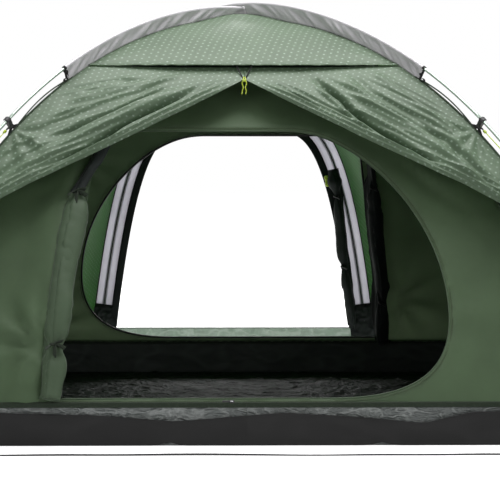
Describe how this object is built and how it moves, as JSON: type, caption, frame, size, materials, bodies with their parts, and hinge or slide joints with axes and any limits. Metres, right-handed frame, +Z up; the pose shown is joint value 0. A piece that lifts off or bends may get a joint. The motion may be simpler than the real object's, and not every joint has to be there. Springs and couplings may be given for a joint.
{
  "type": "dome tent",
  "caption": "Dome tent on two crossing poles, with an inner tent, a rear porch on a hooped pole, rolled-back doors and guy lines.",
  "frame": {"origin": "middle of the groundsheet's underside, on the ground", "axes": "+Z up, +Y from the front door to the rear porch, +X to the right seen from the front"},
  "size_m": [2.6604, 3.7671, 1.1981],
  "materials": {
    "fly_fabric": "satin",
    "inner_fabric": "matte",
    "tub_fabric": "satin",
    "sleeve_fabric": "matte",
    "black_fabric": "matte",
    "sill_fabric": "satin",
    "black_webbing": "matte",
    "neon_cord": "matte",
    "pole_alloy": "satin",
    "black_plastic": "satin",
    "peg_steel": "satin"
  },
  "bodies": {
    "tent": {"corner_tab_front_left": "black_webbing", "corner_tab_front_right": "black_webbing", "corner_tab_rear_left": "black_webbing", "corner_tab_rear_right": "black_webbing", "fly_brow": "fly_fabric", "fly_front_left_door": "fly_fabric", "fly_front_right_door": "fly_fabric", "fly_left_side": "fly_fabric", "fly_right_side": "fly_fabric", "front_ground_strap": "black_webbing", "groundsheet_tub": "tub_fabric", "guy_line_front_left": "neon_cord", "guy_line_front_right": "neon_cord", "guy_line_rear_left": "neon_cord", "guy_line_rear_right": "neon_cord", "hook_tape_front_left": "black_webbing", "hook_tape_front_right": "black_webbing", "hook_tape_rear_left": "black_webbing", "hook_tape_rear_right": "black_webbing", "inner_front_door_roll": "inner_fabric", "inner_front_wall": "inner_fabric", "inner_left_wall": "inner_fabric", "inner_rear_door_roll": "black_fabric", "inner_rear_wall": "inner_fabric", "inner_right_wall": "inner_fabric", "pole_a_1": "pole_alloy", "pole_a_2": "pole_alloy", "pole_a_3": "pole_alloy", "pole_a_4": "pole_alloy", "pole_b_1": "pole_alloy", "pole_b_2": "pole_alloy", "pole_b_3": "pole_alloy", "pole_b_4": "pole_alloy", "pole_sleeve_a": "sleeve_fabric", "pole_sleeve_b": "sleeve_fabric", "porch_door_border": "black_fabric", "porch_door_roll": "fly_fabric", "porch_foot_left": "black_webbing", "porch_foot_right": "black_webbing", "porch_left_half": "fly_fabric", "porch_pole_1": "pole_alloy", "porch_pole_2": "pole_alloy", "porch_pole_sleeve": "sleeve_fabric", "porch_right_half": "fly_fabric", "porch_sill": "sill_fabric"},
    "hook_front_left": {"pole_hook_front_left": "black_plastic"},
    "runner_front_left": {"guy_runner_front_left": "black_plastic"},
    "peg_body_front_left": {"peg_front_left": "peg_steel"},
    "hook_front_right": {"pole_hook_front_right": "black_plastic"},
    "runner_front_right": {"guy_runner_front_right": "black_plastic"},
    "peg_body_front_right": {"peg_front_right": "peg_steel"},
    "hook_rear_left": {"pole_hook_rear_left": "black_plastic"},
    "runner_rear_left": {"guy_runner_rear_left": "black_plastic"},
    "peg_body_rear_left": {"peg_rear_left": "peg_steel"},
    "hook_rear_right": {"pole_hook_rear_right": "black_plastic"},
    "runner_rear_right": {"guy_runner_rear_right": "black_plastic"},
    "peg_body_rear_right": {"peg_rear_right": "peg_steel"},
    "front_slider": {"front_zip_slider": "black_plastic"},
    "rear_slider": {"rear_zip_slider": "black_plastic"},
    "fly_pull": {"fly_zip_pull": "neon_cord"}
  },
  "joints": [
    {"name": "hook_front_left_swing", "type": "hinge", "parent": "tent", "child": "hook_front_left", "pos_m": [-0.62373, -0.74253, 0.81624], "axis": [0.5015, 0.597, 0.6262], "range_deg": [0, 55]},
    {"name": "runner_front_left_slide", "type": "slide", "parent": "tent", "child": "runner_front_left", "axis": [-0.5567, -0.5087, -0.6568], "range_m": [-0.25, 0.25]},
    {"name": "peg_front_left_pull", "type": "slide", "parent": "tent", "child": "peg_body_front_left", "axis": [-0.7382, -0.6746, 0], "range_m": [0, 0.12]},
    {"name": "hook_front_right_swing", "type": "hinge", "parent": "tent", "child": "hook_front_right", "pos_m": [0.62374, -0.74254, 0.8162], "axis": [0.5017, -0.5973, -0.6257], "range_deg": [0, 55]},
    {"name": "runner_front_right_slide", "type": "slide", "parent": "tent", "child": "runner_front_right", "axis": [0.5567, -0.5087, -0.6568], "range_m": [-0.25, 0.25]},
    {"name": "peg_front_right_pull", "type": "slide", "parent": "tent", "child": "peg_body_front_right", "axis": [0.7382, -0.6746, 0], "range_m": [0, 0.12]},
    {"name": "hook_rear_left_swing", "type": "hinge", "parent": "tent", "child": "hook_rear_left", "pos_m": [-0.62374, 0.74254, 0.8162], "axis": [-0.5017, 0.5973, -0.6257], "range_deg": [0, 55]},
    {"name": "runner_rear_left_slide", "type": "slide", "parent": "tent", "child": "runner_rear_left", "axis": [-0.5567, 0.5087, -0.6568], "range_m": [-0.25, 0.25]},
    {"name": "peg_rear_left_pull", "type": "slide", "parent": "tent", "child": "peg_body_rear_left", "axis": [-0.7382, 0.6746, 0], "range_m": [0, 0.12]},
    {"name": "hook_rear_right_swing", "type": "hinge", "parent": "tent", "child": "hook_rear_right", "pos_m": [0.62373, 0.74253, 0.81624], "axis": [-0.5015, -0.597, 0.6262], "range_deg": [0, 55]},
    {"name": "runner_rear_right_slide", "type": "slide", "parent": "tent", "child": "runner_rear_right", "axis": [0.5567, 0.5087, -0.6568], "range_m": [-0.25, 0.25]},
    {"name": "peg_rear_right_pull", "type": "slide", "parent": "tent", "child": "peg_body_rear_right", "axis": [0.7382, 0.6746, 0], "range_m": [0, 0.12]},
    {"name": "front_zip_slide", "type": "slide", "parent": "tent", "child": "front_slider", "axis": [1, 0, 0], "range_m": [-0.33, 0.24]},
    {"name": "rear_zip_slide", "type": "slide", "parent": "tent", "child": "rear_slider", "axis": [1, 0, 0], "range_m": [-0.24, 0.33]},
    {"name": "fly_pull_swing", "type": "hinge", "parent": "tent", "child": "fly_pull", "pos_m": [0, -0.56915, 0.95252], "axis": [0, -0.5828, 0.8126], "range_deg": [-25, 25]}
  ]
}
